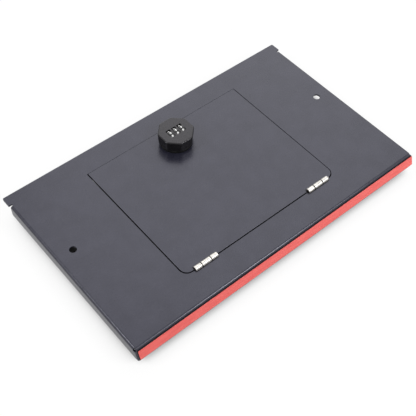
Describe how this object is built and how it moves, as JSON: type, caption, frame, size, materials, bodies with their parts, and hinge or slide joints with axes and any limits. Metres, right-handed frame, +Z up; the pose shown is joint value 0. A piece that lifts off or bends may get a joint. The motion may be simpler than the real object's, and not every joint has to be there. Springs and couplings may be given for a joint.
{
  "type": "lockable bin cover for a vehicle",
  "caption": "Folded black steel cover plate for a vehicle's storage bin, with a hinged flush door, a number-wheel knob lock and cam, and a taped front flange.",
  "frame": {"origin": "under the middle of the whole part, at the height of its lowest point, the head of the cam's screw", "axes": "+X along the front flange to the part's right, +Y from the taped front flange to the plain rear edge, +Z up through the top sheet"},
  "size_m": [0.382, 0.2328, 0.0426],
  "materials": {
    "cover_panel": "fine satin black powder coat",
    "door_panel": "fine satin black powder coat",
    "latch_keeper": "fine satin black powder coat",
    "tape_foam": "soft black foam",
    "tape_liner": "smooth red film",
    "hinge_frame_leaf_left": "bright nickel plate",
    "hinge_frame_leaf_right": "bright nickel plate",
    "hinge_door_leaf_left": "bright nickel plate",
    "hinge_door_leaf_right": "bright nickel plate",
    "hinge_pin_left": "bright nickel plate",
    "hinge_pin_right": "bright nickel plate",
    "lock_body": "black coated casting",
    "lock_washer": "zinc plate",
    "lock_nut": "zinc plate",
    "knob_housing": "black coated casting",
    "knob_rotor": "plain zinc casting",
    "knob_screw_1": "zinc plate",
    "knob_screw_2": "zinc plate",
    "knob_screw_3": "zinc plate",
    "stop_washer": "zinc plate",
    "cam": "zinc plate",
    "cam_washer": "zinc plate",
    "cam_screw": "zinc plate",
    "wheel_axle": "ground steel",
    "detent_spring": "spring steel",
    "bolt_spring": "spring steel",
    "locking_bolt": "plain brass",
    "number_wheel_left": "black moulded, white figures",
    "code_sleeve_left": "turned brass",
    "number_wheel_centre": "black moulded, white figures",
    "code_sleeve_centre": "turned brass",
    "number_wheel_right": "black moulded, white figures",
    "code_sleeve_right": "turned brass"
  },
  "bodies": {
    "cover": {"cover_panel": "cover_panel", "latch_keeper": "latch_keeper", "tape_foam": "tape_foam", "tape_liner": "tape_liner", "hinge_frame_leaf_left": "hinge_frame_leaf_left", "hinge_frame_leaf_right": "hinge_frame_leaf_right", "hinge_pin_left": "hinge_pin_left", "hinge_pin_right": "hinge_pin_right"},
    "door": {"door_panel": "door_panel", "hinge_door_leaf_left": "hinge_door_leaf_left", "hinge_door_leaf_right": "hinge_door_leaf_right", "lock_body": "lock_body", "lock_washer": "lock_washer", "lock_nut": "lock_nut"},
    "knob": {"knob_housing": "knob_housing", "knob_rotor": "knob_rotor", "knob_screw_1": "knob_screw_1", "knob_screw_2": "knob_screw_2", "knob_screw_3": "knob_screw_3", "stop_washer": "stop_washer", "cam": "cam", "cam_washer": "cam_washer", "cam_screw": "cam_screw", "wheel_axle": "wheel_axle", "detent_spring": "detent_spring", "bolt_spring": "bolt_spring"},
    "wheel_left": {"number_wheel_left": "number_wheel_left", "code_sleeve_left": "code_sleeve_left"},
    "wheel_centre": {"number_wheel_centre": "number_wheel_centre", "code_sleeve_centre": "code_sleeve_centre"},
    "wheel_right": {"number_wheel_right": "number_wheel_right", "code_sleeve_right": "code_sleeve_right"},
    "bolt": {"locking_bolt": "locking_bolt"}
  },
  "joints": [
    {"name": "door_hinge", "type": "hinge", "parent": "cover", "child": "door", "pos_m": [0, -0.07788, 0.0256], "axis": [1, 0, 0], "range_deg": [0, 170]},
    {"name": "knob_turn", "type": "hinge", "parent": "door", "child": "knob", "pos_m": [0, 0.06612, 0.025], "axis": [0, 0, -1], "range_deg": [0, 90]},
    {"name": "wheel_left_turn", "type": "hinge", "parent": "knob", "child": "wheel_left", "pos_m": [-0.0073, 0.06612, 0.0359], "axis": [1, 0, 0], "continuous": true},
    {"name": "wheel_centre_turn", "type": "hinge", "parent": "knob", "child": "wheel_centre", "pos_m": [0, 0.06612, 0.0359], "axis": [1, 0, 0], "continuous": true},
    {"name": "wheel_right_turn", "type": "hinge", "parent": "knob", "child": "wheel_right", "pos_m": [0.0073, 0.06612, 0.0359], "axis": [1, 0, 0], "continuous": true},
    {"name": "bolt_slide", "type": "slide", "parent": "knob", "child": "bolt", "axis": [0, 0, 1], "range_m": [-0.001, 0], "stiffness_N_per_m": 300, "springref_m": 0.001, "deforming": ["bolt_spring"]}
  ]
}
